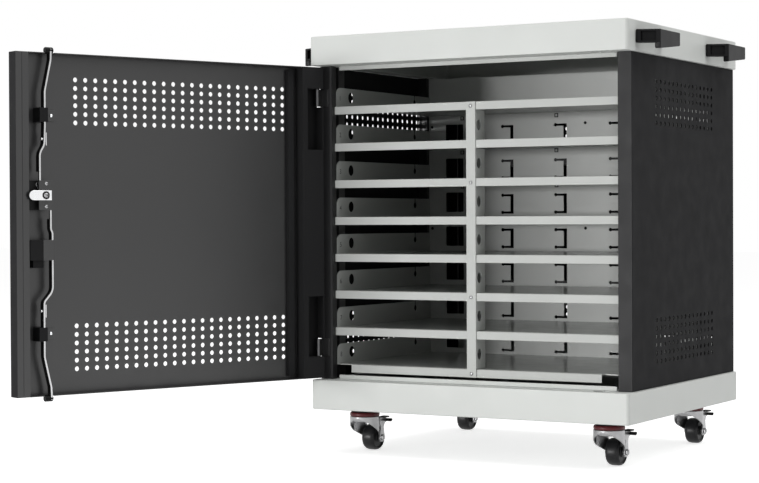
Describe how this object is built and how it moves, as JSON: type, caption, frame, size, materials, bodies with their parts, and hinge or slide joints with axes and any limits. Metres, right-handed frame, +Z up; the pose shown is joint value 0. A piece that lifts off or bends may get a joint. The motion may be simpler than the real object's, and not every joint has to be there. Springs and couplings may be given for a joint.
{
  "type": "laptop charging cart",
  "caption": "Steel charging cabinet on braked casters with shelved laptop bays, a perforated locking door, push handles and a rear power compartment.",
  "frame": {"origin": "on the floor, under the middle of the cabinet's footprint", "axes": "+Z up, +Y towards the rear service door, +X to the right as seen from the front"},
  "size_m": [0.941, 1.1356, 0.7924],
  "materials": {
    "light_paint": "light grey powder coat, fine satin texture",
    "charcoal_paint": "charcoal powder coat, fine matt texture",
    "shelf_paint": "light grey powder coat, satin",
    "black_plastic": "moulded black nylon, satin",
    "zinc_steel": "bright zinc plate",
    "chrome": "polished chrome",
    "wheel_rubber": "black polyurethane tread, satin",
    "seal_plastic": "dark red dust seal"
  },
  "bodies": {
    "cabinet": {"top_cap": "light_paint", "base_tray": "light_paint", "left_side_panel": "charcoal_paint", "right_side_panel": "charcoal_paint", "header_strip": "light_paint", "sill_strip": "light_paint", "shelf_1": "shelf_paint", "shelf_2": "shelf_paint", "shelf_3": "shelf_paint", "shelf_4": "shelf_paint", "shelf_5": "shelf_paint", "shelf_6": "shelf_paint", "shelf_7": "shelf_paint", "shelf_8": "shelf_paint", "centre_post": "shelf_paint", "cable_panel": "shelf_paint", "power_strip_upper": "black_plastic", "power_strip_lower": "black_plastic", "handle_front_left": "black_plastic", "handle_rear_left": "black_plastic", "handle_front_right": "black_plastic", "handle_rear_right": "black_plastic", "caster_head_front_left": "seal_plastic", "caster_head_front_right": "seal_plastic", "caster_head_rear_left": "seal_plastic", "caster_head_rear_right": "seal_plastic", "hinge_upper": "zinc_steel", "hinge_lower": "zinc_steel", "rear_lower_panel": "light_paint", "power_inlet": "black_plastic"},
    "front_door": {"door_panel": "charcoal_paint", "lock_housing": "charcoal_paint", "rod_guide_upper": "black_plastic", "rod_guide_lower": "black_plastic", "rod_keeper": "black_plastic", "handle_rose": "black_plastic"},
    "lock": {"lock_lever": "black_plastic", "lock_cam": "chrome"},
    "key": {"key_cylinder": "chrome"},
    "upper_rod": {"upper_rod": "zinc_steel"},
    "lower_rod": {"lower_rod": "zinc_steel"},
    "rear_door": {"rear_door": "charcoal_paint"},
    "rear_lock": {"rear_lock": "chrome"},
    "fork_front_left": {"caster_fork_front_left": "zinc_steel"},
    "wheel_front_left": {"caster_wheel_front_left": "wheel_rubber"},
    "brake_front_left": {"caster_brake_front_left": "zinc_steel"},
    "fork_front_right": {"caster_fork_front_right": "zinc_steel"},
    "wheel_front_right": {"caster_wheel_front_right": "wheel_rubber"},
    "brake_front_right": {"caster_brake_front_right": "zinc_steel"},
    "fork_rear_left": {"caster_fork_rear_left": "zinc_steel"},
    "wheel_rear_left": {"caster_wheel_rear_left": "wheel_rubber"},
    "brake_rear_left": {"caster_brake_rear_left": "zinc_steel"},
    "fork_rear_right": {"caster_fork_rear_right": "zinc_steel"},
    "wheel_rear_right": {"caster_wheel_rear_right": "wheel_rubber"},
    "brake_rear_right": {"caster_brake_rear_right": "zinc_steel"}
  },
  "joints": [
    {"name": "front_door_hinge", "type": "hinge", "parent": "cabinet", "child": "front_door", "pos_m": [-0.317, -0.2625, 0.44], "axis": [0, 0, 1], "range_deg": [-13, 112]},
    {"name": "lock_turn", "type": "hinge", "parent": "front_door", "child": "lock", "pos_m": [-0.54886, -0.803, 0.4895], "axis": [-0.9272, 0.3746, 0], "range_deg": [-90, 0]},
    {"name": "key_turn", "type": "hinge", "parent": "lock", "child": "key", "pos_m": [-0.56833, -0.79514, 0.4895], "axis": [-0.9272, 0.3746, 0], "range_deg": [0, 90]},
    {"name": "upper_rod_slide", "type": "slide", "parent": "front_door", "child": "upper_rod", "axis": [0, 0, 1], "range_m": [-0.012, 0]},
    {"name": "lower_rod_slide", "type": "slide", "parent": "front_door", "child": "lower_rod", "axis": [0, 0, 1], "range_m": [0, 0.012]},
    {"name": "rear_door_hinge", "type": "hinge", "parent": "cabinet", "child": "rear_door", "pos_m": [-0.2865, 0.2665, 0.47], "axis": [0, 0, 1], "range_deg": [0, 110]},
    {"name": "rear_lock_turn", "type": "hinge", "parent": "rear_door", "child": "rear_lock", "pos_m": [0.272, 0.2718, 0.471], "axis": [0, 1, 0], "range_deg": [-90, 0]},
    {"name": "swivel_front_left", "type": "hinge", "parent": "cabinet", "child": "fork_front_left", "pos_m": [-0.254, -0.196, 0.08], "axis": [0, 0, 1], "continuous": true},
    {"name": "roll_front_left", "type": "hinge", "parent": "fork_front_left", "child": "wheel_front_left", "pos_m": [-0.254, -0.164, 0.025], "axis": [1, 0, 0], "continuous": true},
    {"name": "brake_tilt_front_left", "type": "hinge", "parent": "fork_front_left", "child": "brake_front_left", "pos_m": [-0.254, -0.164, 0.025], "axis": [1, 0, 0], "range_deg": [-15, 0]},
    {"name": "swivel_front_right", "type": "hinge", "parent": "cabinet", "child": "fork_front_right", "pos_m": [0.254, -0.196, 0.08], "axis": [0, 0, 1], "continuous": true},
    {"name": "roll_front_right", "type": "hinge", "parent": "fork_front_right", "child": "wheel_front_right", "pos_m": [0.254, -0.164, 0.025], "axis": [1, 0, 0], "continuous": true},
    {"name": "brake_tilt_front_right", "type": "hinge", "parent": "fork_front_right", "child": "brake_front_right", "pos_m": [0.254, -0.164, 0.025], "axis": [1, 0, 0], "range_deg": [-15, 0]},
    {"name": "swivel_rear_left", "type": "hinge", "parent": "cabinet", "child": "fork_rear_left", "pos_m": [-0.254, 0.196, 0.08], "axis": [0, 0, 1], "continuous": true},
    {"name": "roll_rear_left", "type": "hinge", "parent": "fork_rear_left", "child": "wheel_rear_left", "pos_m": [-0.254, 0.228, 0.025], "axis": [1, 0, 0], "continuous": true},
    {"name": "brake_tilt_rear_left", "type": "hinge", "parent": "fork_rear_left", "child": "brake_rear_left", "pos_m": [-0.254, 0.228, 0.025], "axis": [1, 0, 0], "range_deg": [-15, 0]},
    {"name": "swivel_rear_right", "type": "hinge", "parent": "cabinet", "child": "fork_rear_right", "pos_m": [0.254, 0.196, 0.08], "axis": [0, 0, 1], "continuous": true},
    {"name": "roll_rear_right", "type": "hinge", "parent": "fork_rear_right", "child": "wheel_rear_right", "pos_m": [0.254, 0.228, 0.025], "axis": [1, 0, 0], "continuous": true},
    {"name": "brake_tilt_rear_right", "type": "hinge", "parent": "fork_rear_right", "child": "brake_rear_right", "pos_m": [0.254, 0.228, 0.025], "axis": [1, 0, 0], "range_deg": [-15, 0]}
  ],
  "couplings": [
    {"joint": "upper_rod_slide", "follows": "lock_turn", "m_per_rad": 0.00763},
    {"joint": "lower_rod_slide", "follows": "lock_turn", "m_per_rad": -0.00763}
  ]
}
